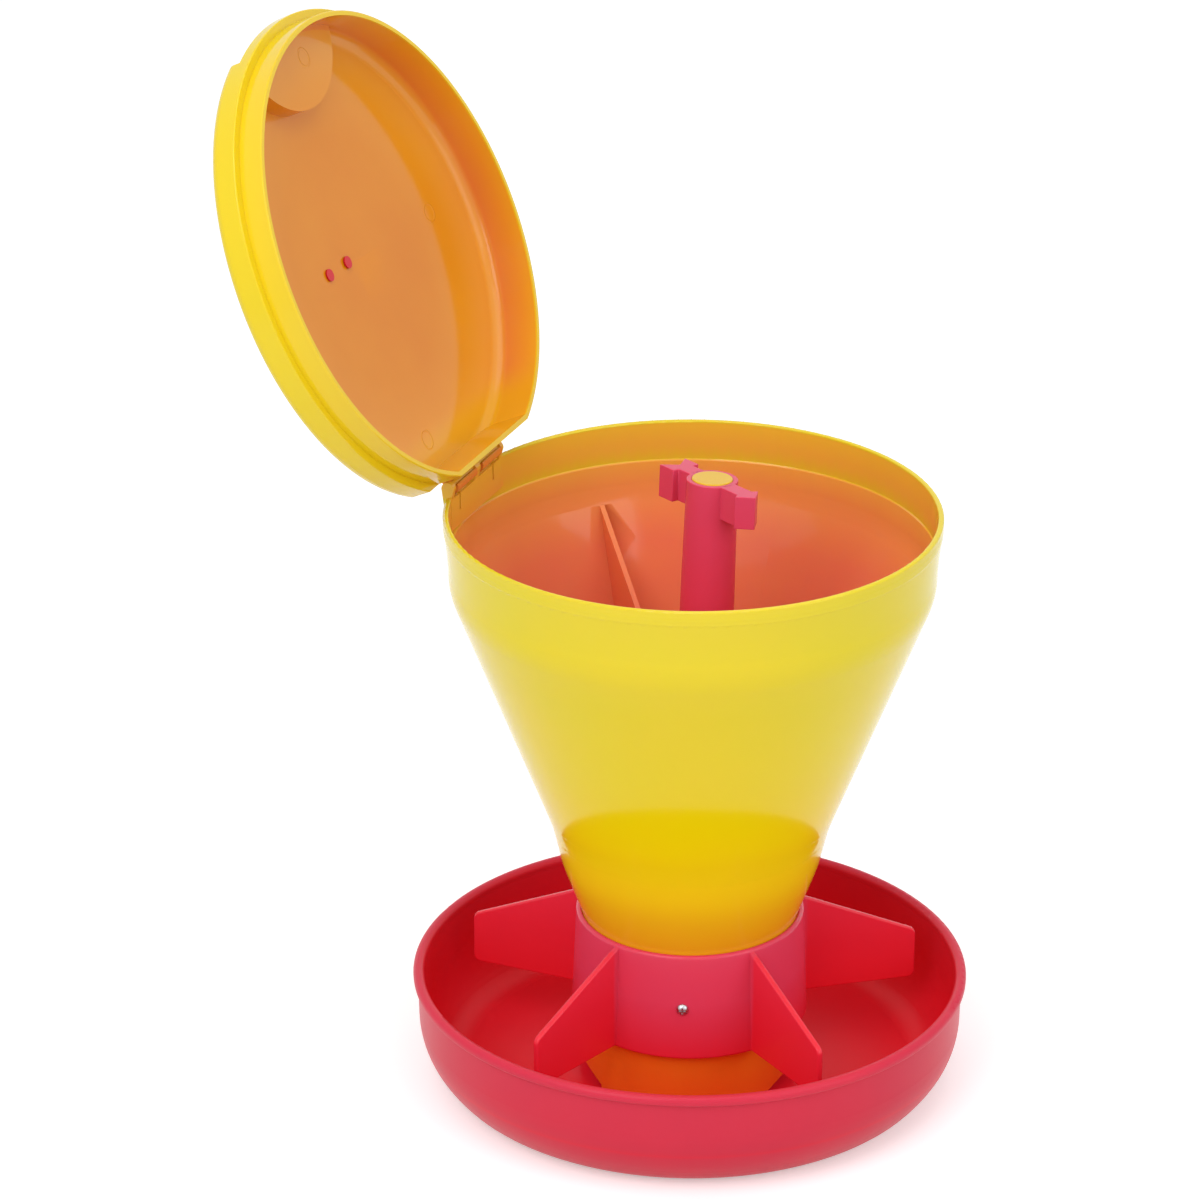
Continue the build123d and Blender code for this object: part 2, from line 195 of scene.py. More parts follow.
print("places: object_place, split, distance")

# %% [markdown]
# A bump node tilts the light on a surface as if it had small heights. A second helper chooses
# between two directions that Blender knows for a surface: the smoothed one, which hides the flat
# faces of the mesh, and the true one of each face. The smoothed one is nearly always better.

# %% Bump and direction
def bump(tree, height, strength, depth, normal=None):
    node = tree.nodes.new("ShaderNodeBump")
    node.inputs["Strength"].default_value = strength
    node.inputs["Distance"].default_value = depth
    put(tree, node.inputs["Height"], height)
    if normal is not None:
        put(tree, node.inputs["Normal"], normal)
    return node.outputs["Normal"]


def true_where(tree, zone):
    """The smoothed direction of the surface, and in the zone the true one of each face."""
    surface = tree.nodes.new("ShaderNodeNewGeometry")
    return mix(tree, "VECTOR", zone, surface.outputs["Normal"], surface.outputs["True Normal"])


print("directions: bump, true_where")

# %% [markdown]
# Moulded polypropylene has a clean, slightly waxy gloss. It isn't a mirror: the polished mould
# leaves long shallow waves and a very fine grain. The waves go into the bump, and the grain into
# both the bump and the roughness. A little subsurface light softens the edges, as in the real
# translucent plastic. One recipe serves every plastic piece, and each piece only says its colour.

# %% Moulded plastic
NOISE_LOW, NOISE_HIGH = 0.3, 0.7
WAVE_SIZE, WAVE_DEPTH = 38.0, 0.4 * MM
GRAIN_SIZE, GRAIN_STRENGTH, GRAIN_DEPTH = 900.0, 0.015, 0.1 * MM
CLOUD_SIZE, CLOUD_DETAIL, CLOUD_SHARE = 14.0, 3.0, 0.12
MARK_STRENGTH, MARK_DEPTH = 0.6, 0.3 * MM
PLASTIC_IOR = 1.49
SUBSURFACE_SHARE, SUBSURFACE_DEPTH = 0.08, 3.0 * MM


def moulded_plastic(name, colour_of, glow, gloss=(0.11, 0.17), shine=0.32, waves=0.1, marks=None,
                    true_at=None):
    """Plastic whose colour is worked out by colour_of(tree, place), with waves, grain and gloss.

    gloss is the range of the roughness, marks gives the height of marks in the mould, and
    true_at gives the zone where the true direction of the mesh is the better one."""
    material = bpy.data.materials.new(name)
    material.use_nodes = True
    tree = material.node_tree
    shader = tree.nodes["Principled BSDF"]
    place = object_place(tree)
    clouds = noise(tree, place, CLOUD_SIZE, CLOUD_DETAIL)
    clouds = remap(tree, clouds, NOISE_LOW, NOISE_HIGH, 0.0, CLOUD_SHARE)
    put(tree, shader.inputs["Base Color"], mix(tree, "RGBA", clouds, colour_of(tree, place), glow))
    grain = noise(tree, place, GRAIN_SIZE)
    put(tree, shader.inputs["Roughness"], remap(tree, grain, NOISE_LOW, NOISE_HIGH, *gloss))
    normal = None if true_at is None else true_where(tree, true_at(tree, place))
    normal = bump(tree, grain, GRAIN_STRENGTH, GRAIN_DEPTH, normal)
    normal = bump(tree, noise(tree, place, WAVE_SIZE), waves, WAVE_DEPTH, normal)
    if marks is not None:
        normal = bump(tree, marks(tree, place), MARK_STRENGTH, MARK_DEPTH, normal)
    put(tree, shader.inputs["Normal"], normal)
    shader.inputs["IOR"].default_value = PLASTIC_IOR
    shader.inputs["Specular IOR Level"].default_value = shine
    shader.inputs["Subsurface Weight"].default_value = SUBSURFACE_SHARE
    shader.inputs["Subsurface Radius"].default_value = glow[:3]
    shader.inputs["Subsurface Scale"].default_value = SUBSURFACE_DEPTH
    return material


print("plastic recipe ready, refraction", PLASTIC_IOR)

# %% [markdown]
# To know whether a point of the hopper is inside or outside, the graph has to know where the wall
# is. A curve of straight runs gives the radius of the middle of the wall at each height, and a
# point nearer to the axis than that is inside.

# %% Middle of the hopper's wall
HOPPER_TOP, HOPPER_WIDEST = 300.0, 120.0
MIDDLE_OF_WALL = [(0, 52.4), (87, 51.4), (113, 61.0), (135, 66.2), (257.5, 113.8), (300, 116.0)]


def wall_radius(tree, height):
    node = tree.nodes.new("ShaderNodeFloatCurve")
    put(tree, node.inputs["Value"], calc(tree, "DIVIDE", height, HOPPER_TOP * MM))
    corners = [(z / HOPPER_TOP, r / HOPPER_WIDEST) for z, r in MIDDLE_OF_WALL]
    points = node.mapping.curves[0].points
    for corner in corners[1:-1]:
        points.new(*corner)
    for point, corner in zip(points, corners):
        point.location = corner
        point.handle_type = "VECTOR"
    node.mapping.update()
    return calc(tree, "MULTIPLY", node.outputs["Value"], HOPPER_WIDEST * MM)


print("corners of the wall:", len(MIDDLE_OF_WALL))

# %% [markdown]
# Red parts throw red light on the yellow ones. Inside the hopper the light bounces many times, so
# the wall looks orange and, low down, almost salmon. The outside stays lemon yellow, and turns
# warmer only towards the neck, near the red ring. The render finds a part of such tints by
# itself, but with soft light from all round it finds too little. So the tint is painted. The
# edge of the rim stays yellow, because light comes through it from the bright outside. The
# hinge seat is flat, so there the question is whether a point is in front of the flat wall.

# %% Hopper colour
OUTSIDE_TINTS = [
    (0, (234, 94, 30)), (60, (234, 130, 24)), (92, (240, 176, 24)), (122, (242, 200, 20)),
    (150, (240, 211, 8)), (180, (233, 209, 3)), (235, (225, 205, 14)), (292, (224, 204, 44))]
INSIDE_TINTS = [
    (0, (216, 86, 66)), (150, (229, 104, 92)), (235, (233, 117, 88)), (262, (236, 146, 80)),
    (278, (237, 172, 66)), (291, (236, 190, 58))]
RIM_EDGE = 292.6 * MM
SEAT_HALF_WIDTH = 31 * MM
SEAT_FROM, SEAT_FOOT = 100 * MM, 277.5 * MM
SEAT_WALL_MIDDLE = 112.1 * MM
SEAT_WALL_TOP = 293.4 * MM


def hopper_colour(tree, place):
    x, y, z = split(tree, place)
    in_round = both(tree, below(tree, distance(tree, x, y), wall_radius(tree, z)),
                    below(tree, z, RIM_EDGE))
    in_flat = calc(tree, "MAXIMUM", below(tree, y, SEAT_WALL_MIDDLE), above(tree, z, SEAT_WALL_TOP))
    at_seat = both(tree, above(tree, z, SEAT_FOOT), above(tree, y, SEAT_FROM))
    at_seat = both(tree, at_seat, below(tree, calc(tree, "ABSOLUTE", x), SEAT_HALF_WIDTH))
    inside = mix(tree, "FLOAT", at_seat, in_round, in_flat)
    return mix(tree, "RGBA", inside, ramp(tree, z, OUTSIDE_TINTS), ramp(tree, z, INSIDE_TINTS))


YELLOW_GLOW = srgb(255, 196, 40)
hopper_plastic = moulded_plastic("yellow hopper plastic", hopper_colour, YELLOW_GLOW,
                                 gloss=(0.06, 0.1), shine=0.27, waves=0.08)
print("hopper tints:", len(OUTSIDE_TINTS), "outside and", len(INSIDE_TINTS), "inside")

# %% [markdown]
# The lid has the same two sides, but it was modelled standing open. Its coordinates are first
# turned back about the hinge, so that it lies flat as if shut. Then the same question is easy to
# ask, because the plate is level, with a slight dome.

# %% The lid as if shut
LID_OPEN = math.radians(115)
HINGE = Vector((0.0, 112.8 * MM, 298.3 * MM))
LID_TOP = 309.6 * MM
LID_CROWN = 2.5 * MM
LID_RADIUS = 118.4 * MM


def shut_place(tree, place):
    """Where a point of the open lid lies when the lid is shut."""
    node = tree.nodes.new("ShaderNodeVectorRotate")
    node.rotation_type = "X_AXIS"
    node.inputs["Center"].default_value = HINGE
    node.inputs["Angle"].default_value = LID_OPEN
    put(tree, node.inputs["Vector"], place)
    return split(tree, node.outputs["Vector"])


def middle_of_plate(tree, from_axis):
    """Height of the middle of the domed plate, at a distance from the lid's axis."""
    share = calc(tree, "DIVIDE", from_axis, LID_RADIUS)
    drop = calc(tree, "MULTIPLY", both(tree, share, share), LID_CROWN)
    return calc(tree, "SUBTRACT", LID_TOP, drop)


print("lid open by", round(math.degrees(LID_OPEN)), "degrees")

# %% [markdown]
# A point of the lid is inside if it is below the middle of the plate, within the skirt, in front
# of the flat wall at the hinge, and not in the finger recess, which belongs to the outside. The
# inner tint is deepest on the plate, and paler on the skirt and beside the hinge, where light
# gets in.

# %% Lid colour
SKIRT_MIDDLE, SKIRT_FROM, SKIRT_EDGE = 112.9 * MM, 109 * MM, 283.1 * MM
FLAT_MIDDLE = 105.3 * MM
RECESS_AT, RECESS_MIDDLE, RECESS_LEVEL = -120.0 * MM, 44.2 * MM, 299.1 * MM
PLATE_FROM, PLATE_FADE = 302 * MM, 3 * MM
FLAT_TINT_FROM, FLAT_TINT_TO = 84 * MM, 98 * MM
FLAT_TINT = srgb(224, 160, 26)
PLATE_TINTS = [(0, (217, 126, 6)), (60, (218, 130, 8)), (84, (222, 140, 30)),
               (101, (226, 152, 54)), (112, (226, 150, 54))]
SKIRT_TINTS = [(280, (226, 164, 30)), (290, (224, 142, 42)), (300, (222, 126, 56))]
LID_OUTER_TINTS = [(280, (228, 194, 36)), (294, (228, 200, 26)), (312, (224, 200, 26))]


def inner_side(tree, x, y, z, from_axis):
    """Zone of the lid's inner side."""
    below_plate = below(tree, z, middle_of_plate(tree, from_axis))
    inside = both(tree, below_plate, below(tree, from_axis, SKIRT_MIDDLE))
    inside = both(tree, inside, below(tree, y, FLAT_MIDDLE))
    from_recess = distance(tree, x, calc(tree, "SUBTRACT", y, RECESS_AT))
    in_recess = both(tree, below(tree, from_recess, RECESS_MIDDLE), above(tree, z, RECESS_LEVEL))
    inside = both(tree, inside, outside(tree, in_recess))
    return both(tree, inside, above(tree, z, SKIRT_EDGE))


def lid_colour(tree, place):
    x, y, z = shut_place(tree, place)
    from_axis = distance(tree, x, y)
    at_skirt = both(tree, below(tree, z, PLATE_FROM, PLATE_FADE), above(tree, from_axis, SKIRT_FROM))
    inner = mix(tree, "RGBA", at_skirt, ramp(tree, from_axis, PLATE_TINTS), ramp(tree, z, SKIRT_TINTS))
    at_flat = remap(tree, y, FLAT_TINT_FROM, FLAT_TINT_TO, smooth=True)
    inner = mix(tree, "RGBA", at_flat, inner, FLAT_TINT)
    return mix(tree, "RGBA", inner_side(tree, x, y, z, from_axis),
               ramp(tree, z, LID_OUTER_TINTS), inner)


print("lid tints:", len(PLATE_TINTS), "on the plate,", len(SKIRT_TINTS), "on the skirt")

# %% [markdown]
# Three faint rings on the inner side are the marks of the pins that push the lid out of its mould.
# They are too shallow to model, so they are bump. On the middle of the top, many long faces of
# the mesh meet in one point and smooth badly, so there the true direction is used: the lid is so
# nearly flat that the faces don't show.

# %% Pin marks and the lid's plastic
PIN_PLACES = [(75 * MM, 2 * MM), (-14 * MM, 90 * MM), (9 * MM, -97 * MM)]
PIN_RADIUS = 4.5 * MM
PIN_LINE, PIN_SOFTNESS = 0.9 * MM, 0.25 * MM
TOP_MIDDLE = 30 * MM


def pin_marks(tree, place):
    """Height of the pin marks on the inner side of the lid."""
    x, y, z = shut_place(tree, place)
    height = 0.0
    for pin_x, pin_y in PIN_PLACES:
        away = distance(tree, calc(tree, "SUBTRACT", x, pin_x), calc(tree, "SUBTRACT", y, pin_y))
        off_ring = calc(tree, "ABSOLUTE", calc(tree, "SUBTRACT", away, PIN_RADIUS))
        height = calc(tree, "ADD", below(tree, off_ring, PIN_LINE / 2, PIN_SOFTNESS), height)
    return both(tree, height, below(tree, z, middle_of_plate(tree, distance(tree, x, y))))


def top_middle(tree, place):
    """Zone in the middle of the lid's top."""
    x, y, z = shut_place(tree, place)
    return both(tree, below(tree, distance(tree, x, y), TOP_MIDDLE), above(tree, z, LID_TOP))


lid_plastic = moulded_plastic("yellow lid plastic", lid_colour, YELLOW_GLOW, gloss=(0.08, 0.13),
                              marks=pin_marks, true_at=top_middle)
print("lid plastic with", len(PIN_PLACES), "pin marks")

# %% [markdown]
# The small yellow parts get one plain tint each, with a trace of painted shade towards the floor. The
# cone under the neck is in red shade all round, and so are the clips between lid and rim, so their
# orange tints are painted red shade, while the cap on the shaft is pale.

# %% Small yellow parts
LOW_SHADE = 0.94
LOW_SHADE_TO = 320 * MM


def plain(r, g, b):
    """A colour_of function for a piece that has one tint all over, darkened by painted shade towards
    the floor.
    """
    colour = srgb(r, g, b)
    darker = tuple(LOW_SHADE * v for v in colour[:3]) + (1.0,)

    def colour_of(tree, place):
        x, y, z = split(tree, place)
        return mix(tree, "RGBA", remap(tree, z, 0.0, LOW_SHADE_TO), darker, colour)
    return colour_of


clip_plastic = moulded_plastic("clip plastic in painted red shade", plain(232, 142, 62), YELLOW_GLOW)
cone_plastic = moulded_plastic("yellow cone plastic", plain(234, 162, 36), YELLOW_GLOW)
cap_plastic = moulded_plastic("pale yellow cap plastic", plain(222, 180, 44), YELLOW_GLOW, shine=0.2)
print("small yellow parts:", clip_plastic.name, cone_plastic.name, cap_plastic.name, sep=", ")

# %% [markdown]
# The red plastic is a raspberry red. Its tints are partly painted light: paler and pinker where it
# faces the bright room, a painted reflection, and deeper in the trough, painted shade. On the pan the
# change sits at the lip: the outer wall gets the pinker painted reflection, and the dish the deeper
# painted shade. Wear breaks the pan's polish, so it gets more roughness than the ring.

# %% Pan
DISH_TINTS = [(0, (230, 22, 42)), (20, (228, 24, 46)), (48, (216, 32, 54)), (56, (214, 44, 66))]
WALL_TINTS = [(0, (206, 40, 62)), (30, (206, 44, 68)), (56, (208, 46, 72))]
PAN_FOOT_MIDDLE, PAN_WALL_MIDDLE = 115 * MM, 130.4 * MM
PAN_FLARE = 0.72
LIP_SOFTNESS = 1.0 * MM


def pan_colour(tree, place):
    x, y, z = split(tree, place)
    middle = calc(tree, "ADD", PAN_FOOT_MIDDLE, calc(tree, "MULTIPLY", z, PAN_FLARE))
    middle = calc(tree, "MINIMUM", middle, PAN_WALL_MIDDLE)
    in_dish = below(tree, distance(tree, x, y), middle, LIP_SOFTNESS)
    return mix(tree, "RGBA", outside(tree, in_dish), ramp(tree, z, DISH_TINTS),
               ramp(tree, z, WALL_TINTS))


RED_GLOW = srgb(255, 60, 70)
pan_plastic = moulded_plastic("red pan plastic", pan_colour, RED_GLOW, gloss=(0.34, 0.38), shine=0.2,
                              waves=0.06)
print("pan tints:", len(DISH_TINTS), "in the dish,", len(WALL_TINTS), "on the wall")

# %% [markdown]
# On the ring, the collar is pinker than the fins, a painted reflection of the bright room, and both
# are deeper towards the foot, painted shade. The shaft is painted deepest down in the hopper, where
# little light comes, and paler at the top. The lid's plugs are small and plain.

# %% Ring, shaft and plugs
COLLAR_RADIUS, COLLAR_SOFTNESS = 58.5 * MM, 1.5 * MM
FIN_TINTS = [(30, (232, 28, 46)), (60, (235, 38, 60)), (90, (236, 50, 76))]
COLLAR_TINTS = [(30, (228, 32, 54)), (62, (228, 66, 96)), (90, (224, 64, 92))]
SHAFT_TINTS = [(0, (210, 34, 56)), (200, (224, 58, 86)), (310, (216, 72, 104))]


def ring_colour(tree, place):
    x, y, z = split(tree, place)
    at_collar = below(tree, distance(tree, x, y), COLLAR_RADIUS, COLLAR_SOFTNESS)
    return mix(tree, "RGBA", at_collar, ramp(tree, z, FIN_TINTS), ramp(tree, z, COLLAR_TINTS))


def shaft_colour(tree, place):
    x, y, z = split(tree, place)
    return ramp(tree, z, SHAFT_TINTS)


ring_plastic = moulded_plastic("red ring plastic", ring_colour, RED_GLOW, gloss=(0.22, 0.26))
shaft_plastic = moulded_plastic("red shaft plastic", shaft_colour, RED_GLOW, gloss=(0.22, 0.27),
                                shine=0.2)
plug_plastic = moulded_plastic("red plug plastic", plain(204, 14, 34), RED_GLOW)
print("reds:", pan_plastic.name, ring_plastic.name, shaft_plastic.name, plug_plastic.name, sep=", ")

# %% [markdown]
# The screws are zinc-plated steel. Plating looks bright and a little cloudy, so the metal gets
# its roughness and its colour from a fine noise rather than from one value.

# %% Screw steel
PLATING_SIZE, PLATING_DETAIL = 600.0, 3.0
PLATING_GLOSS = (0.2, 0.38)
STEEL_LIGHT, STEEL_DARK = srgb(205, 205, 208), srgb(170, 172, 178)


def plated_steel(name):
    material = bpy.data.materials.new(name)
    material.use_nodes = True
    tree = material.node_tree
    shader = tree.nodes["Principled BSDF"]
    clouds = noise(tree, object_place(tree), PLATING_SIZE, PLATING_DETAIL)
    put(tree, shader.inputs["Base Color"], mix(tree, "RGBA", clouds, STEEL_LIGHT, STEEL_DARK))
    put(tree, shader.inputs["Roughness"], remap(tree, clouds, NOISE_LOW, NOISE_HIGH, *PLATING_GLOSS))
    shader.inputs["Metallic"].default_value = 1.0
    return material


steel = plated_steel("zinc-plated steel")
print("steel:", steel.name)

# %% [markdown]
# All the materials are there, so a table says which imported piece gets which. The real feeder is
# put together the same way, from yellow mouldings, red mouldings and a few screws.

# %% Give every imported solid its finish
FINISH = {
    "pan": pan_plastic, "divider_ring": ring_plastic, "lock_shaft": shaft_plastic,
    "lid_plugs": plug_plastic, "hopper": hopper_plastic, "lid": lid_plastic,
    "spreader_cone": cone_plastic, "shaft_cap": cap_plastic,
    "ring_screws": steel, "cone_screws": steel,
}
for node, material in FINISH.items():
    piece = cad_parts[node]
    if not piece.material_slots:
        piece.data.materials.append(material)
    for material_slot in piece.material_slots:
        material_slot.material = material
print("finishes given:", len(FINISH))

# %% [markdown]
# Some forms of the real feeder are added as meshes. All of them are made the same way: the same
# closed line of points is laid down several times, and faces join each copy to the next. Spun
# about the axis this gives rings, and pulled upwards it gives blocks.

# %% Helpers that make meshes
BACK = math.pi / 2


def joined(mesh, rings, closed=False):
    """Joins each ring of points to the next, and the last to the first if closed."""
    for here, there in zip(rings, rings[1:] + (rings[:1] if closed else [])):
        for i in range(len(here)):
            j = (i + 1) % len(here)
            mesh.faces.new((here[i], there[i], there[j], here[j]))


def capped(mesh, rings):
    """Closes both open ends with a face."""
    mesh.faces.new(rings[0])
    mesh.faces.new(rings[-1][::-1])


def spun(mesh, profile_at, steps, gap=0.0):
    """Adds a profile of radius and height, in mm, spun about Z.

    gap is the angle left open on each side of the back, where the hinge is. profile_at gets the
    angle from the nearer end, and returns the profile there."""
    sweep = 2 * (math.pi - gap)
    rings = []
    for k in range(steps + 1 if gap else steps):
        turn = BACK + gap + sweep * k / steps
        profile = profile_at(sweep * min(k, steps - k) / steps)
        rings.append([mesh.verts.new((r * MM * math.cos(turn), r * MM * math.sin(turn), z * MM))
                      for r, z in profile])
    joined(mesh, rings, closed=not gap)
    if gap:
        capped(mesh, rings)


def pulled_up(mesh, half, turn, low, high):
    """Adds a block, all in mm. half is one side of its outline, the other side is the mirror
    image, and turn swings it about Z."""
    outline = half + [(x, -y) for x, y in reversed(half) if y > 0]
    c, s = math.cos(turn), math.sin(turn)
    rings = [[mesh.verts.new(((x * c - y * s) * MM, (x * s + y * c) * MM, z * MM))
              for x, y in outline] for z in (low, high)]
    joined(mesh, rings)
    capped(mesh, rings)


print("mesh helpers: joined, capped, spun, pulled_up")

# %% [markdown]
# A mesh becomes a piece of the model when it has a material and rides on a body of the mechanism.
# Faces that meet at a small angle are shaded as one surface, and sharper edges can be rounded a
# little, because no moulded edge is perfectly sharp.

# %% From mesh to piece
SMOOTH_BELOW = math.radians(35)
ROUND_ABOVE = math.radians(40)
ROUND_STEPS = 2


def finished_piece(name, mesh, material, body, edge=0.0):
    """Turns mesh data into a piece. edge is the radius of its rounded edges, in metres."""
    bmesh.ops.recalc_face_normals(mesh, faces=mesh.faces)
    data = bpy.data.meshes.new(name)
    mesh.to_mesh(data)
    mesh.free()
    for face in data.polygons:
        face.use_smooth = True
    data.set_sharp_from_angle(angle=SMOOTH_BELOW)
    piece = bpy.data.objects.new(name, data)
    bpy.context.collection.objects.link(piece)
    data.materials.append(material)
    if edge:
        rounded = piece.modifiers.new("rounded edges", "BEVEL")
        rounded.width = edge
        rounded.segments = ROUND_STEPS
        rounded.limit_method = "ANGLE"
        rounded.angle_limit = ROUND_ABOVE
    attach(piece, body)
    return piece


print("smooth below", round(math.degrees(SMOOTH_BELOW)), "degrees")

# %% [markdown]
# The handle on the shaft is an arrow: a pointed head on one side and a block with a notch, like a
# fletched tail, on the other. It tells the farmer which way the shaft is turned. The packed
# solid has two equal arms, so a new shaft stands for it. Here are its lines, in mm: the tube as a
# profile, and the arms and lugs as half outlines that point along X.

# %% Lines of the lock shaft
SHAFT_LOW, SHAFT_TAPER, SHAFT_TOP = 4.4, 246.0, 305.4
SHAFT_RADIUS, SHAFT_TOP_RADIUS, SHAFT_BORE = 12.9, 12.2, 10.4
CAP_HOLE, CAP_DEPTH = 9.75, 2.4
SEAT_BORE, SEAT_DEPTH, SEAT_TAPER = 8.8, 10.4, 12.4
TUBE = [(SHAFT_BORE, SHAFT_LOW), (SHAFT_RADIUS, SHAFT_LOW), (SHAFT_RADIUS, SHAFT_TAPER),
        (SHAFT_TOP_RADIUS, SHAFT_TOP), (CAP_HOLE, SHAFT_TOP), (CAP_HOLE, SHAFT_TOP - CAP_DEPTH),
        (SEAT_BORE, SHAFT_TOP - CAP_DEPTH), (SEAT_BORE, SHAFT_TOP - SEAT_DEPTH),
        (SHAFT_BORE, SHAFT_TOP - SEAT_TAPER)]
ARM_START, NECK = 10.9, 4.35
ARROW_HEAD = [(ARM_START, NECK), (23.4, NECK), (25.0, 7.1), (31.6, 0.0)]
ARROW_TAIL = [(-ARM_START, NECK), (-19.4, NECK), (-19.4, 7.8), (-29.6, 7.8), (-24.0, 0.0)]
ARROW_DEPTH = 16.0
LUG = [(ARM_START, 3.5), (18.8, 3.5)]
LUG_LOW, LUG_HIGH = 17.0, 23.0
print("arrow from tip to tail:", ARROW_HEAD[-1][0] - ARROW_TAIL[-2][0], "mm")

# %% [markdown]
# The shaft is drawn upright and then leans a little, as in the photograph: it stands loose in the
# hopper, and its top rests to one side. The pivot is its seat on the cone.

# %% Lock shaft with an arrow for a handle
ARROW_TURN = math.radians(241)
LUG_TURN = math.radians(70.4)
LEAN, LEAN_SIDE = math.radians(3.14), math.radians(-13.3)
PIVOT = Vector((0, 0, 20 * MM))
TUBE_STEPS = 96
HANDLE_EDGE = 0.35 * MM

mesh = bmesh.new()
spun(mesh, lambda from_end: TUBE, TUBE_STEPS)
for half in (ARROW_HEAD, ARROW_TAIL):
    pulled_up(mesh, half, ARROW_TURN, SHAFT_TOP - ARROW_DEPTH, SHAFT_TOP)
for side in (0, math.pi):
    pulled_up(mesh, LUG, LUG_TURN + side, LUG_LOW, LUG_HIGH)
lean_axis = Vector((-math.sin(LEAN_SIDE), math.cos(LEAN_SIDE), 0))
leaning = Matrix.Translation(PIVOT) @ Matrix.Rotation(LEAN, 4, lean_axis) @ Matrix.Translation(-PIVOT)
bmesh.ops.transform(mesh, matrix=leaning, verts=mesh.verts)
shaft = finished_piece("arrow_shaft", mesh, shaft_plastic, "lock_shaft", HANDLE_EDGE)
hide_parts("lock_shaft")
print("shaft:", shaft.name, "with", len(shaft.data.polygons), "faces")

# %% [markdown]
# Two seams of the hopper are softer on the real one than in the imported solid: a bead under the
# rim, and a tight bend between cone and bowl. A thin skin over each seam, spun about the same axis
# and sunk into the wall at both edges, gives the real line. Being the same plastic, it doesn't
# show. The first skin makes the wall flare out smoothly under the rim. It leaves out the hinge.

# %% Skin under the rim
SKIN_DEPTH = 1.0
SKIN_STEPS = 256
FADE_ANGLE, FADE_DEPTH = math.radians(2.5), 0.9
RIM_RADIUS = 117.5
FLARE_FOOT, FLARE_FOOT_RADIUS = 262.0, 115.25
FLARE_TOP, FLARE_TOP_RADIUS = 289.0, RIM_RADIUS + 0.05
FLARE_STEPS = 12
FLARE_POWER = 1.6
FLARE_END = [(RIM_RADIUS + 0.04, FLARE_TOP + 1.0), (RIM_RADIUS - 0.4, FLARE_TOP + 2.6)]
FLAT_HALF_ANGLE = math.radians(15.6)


def skin(name, outer, gap=0.0):
    """Thin band over the hopper, which fades into the wall at the ends of a gap."""
    inner = [(r - SKIN_DEPTH, z) for r, z in reversed(outer)]

    def profile_at(from_end):
        fade = min(1.0, from_end / FADE_ANGLE) if gap else 1.0
        return [(r - FADE_DEPTH * (1 - fade), z) for r, z in outer] + inner

    mesh = bmesh.new()
    spun(mesh, profile_at, SKIN_STEPS, gap)
    return finished_piece(name, mesh, hopper_plastic, "base")


flare = []
for k in range(FLARE_STEPS + 1):
    share = k / FLARE_STEPS
    radius = FLARE_FOOT_RADIUS + (FLARE_TOP_RADIUS - FLARE_FOOT_RADIUS) * share ** FLARE_POWER
    flare.append((radius, FLARE_FOOT + (FLARE_TOP - FLARE_FOOT) * share))
skin("rim_flare", flare + FLARE_END, gap=FLAT_HALF_ANGLE)
print("flare from", FLARE_FOOT, "to", FLARE_END[-1][1], "mm high")

# %% [markdown]
# The second skin is an arc that touches both straight lines: the wall of the bowl below and that
# of the cone above. Where it touches them, it goes on a little and dips below the surface.

# %% Skin over the bend
BEND_HEIGHT, BEND_CORNER = 135.0, 67.5
BEND_RADIUS = 70.0
BEND_STEPS = 12
BEND_DIP = 0.1
BOWL_FOOT_HEIGHT, BOWL_FOOT_RADIUS = 113.0, 62.2
CONE_TOP_HEIGHT, CONE_TOP_RADIUS = 257.5, 115.2

low_angle = math.atan((BEND_CORNER - BOWL_FOOT_RADIUS) / (BEND_HEIGHT - BOWL_FOOT_HEIGHT))
high_angle = math.atan((CONE_TOP_RADIUS - BEND_CORNER) / (CONE_TOP_HEIGHT - BEND_HEIGHT))
tangent = BEND_RADIUS * math.tan((high_angle - low_angle) / 2)
centre = (BEND_CORNER - tangent * math.sin(low_angle) + BEND_RADIUS * math.cos(low_angle),
          BEND_HEIGHT - tangent * math.cos(low_angle) - BEND_RADIUS * math.sin(low_angle))
bend = []
for k in range(-1, BEND_STEPS + 2):
    angle = low_angle + (high_angle - low_angle) * k / BEND_STEPS
    dip = 0.0 if 0 <= k <= BEND_STEPS else BEND_DIP
    bend.append((centre[0] - BEND_RADIUS * math.cos(angle) - dip,
                 centre[1] + BEND_RADIUS * math.sin(angle)))
skin("cone_bend", bend)
print("bend from", round(bend[0][1], 1), "to", round(bend[-1][1], 1), "mm high")

# %% [markdown]
# The lid hooks onto the hopper's hinge bar with two clips: open C forms that snap over the bar.
# On the real lid they nearly fill the space between the cheeks, and look like one barrel. So a
# longer clip covers each packed one. It is drawn on the shut lid, because there it is straight,
# and then swings open with the same turn as the lid.

# %% Outline of a clip
CLIP_RADIUS, CLIP_BORE = 4.05, 2.03
CLIP_ARM, CLIP_ARM_HALF = 7.0, 3.45
CLIP_MOUTH, CLIP_MOUTH_HALF = math.radians(-120), math.radians(54)
CLIP_STEPS = 20


def clip_outline():
    """The clip seen along the bar: the outer arc with its arm, then the bore back."""
    outer_half = CLIP_MOUTH_HALF * CLIP_BORE / CLIP_RADIUS
    outer, inner = [], []
    for k in range(CLIP_STEPS + 1):
        angle = CLIP_MOUTH + outer_half + 2 * (math.pi - outer_half) * k / CLIP_STEPS
        y, z = CLIP_RADIUS * math.cos(angle), CLIP_RADIUS * math.sin(angle)
        if y < 0 and abs(z) < CLIP_ARM_HALF:
            y = -CLIP_ARM
        outer.append((y, z))
        angle = CLIP_MOUTH - CLIP_MOUTH_HALF - 2 * (math.pi - CLIP_MOUTH_HALF) * k / CLIP_STEPS
        inner.append((CLIP_BORE * math.cos(angle), CLIP_BORE * math.sin(angle)))
    return outer + inner


print("points in a clip's outline:", len(clip_outline()))

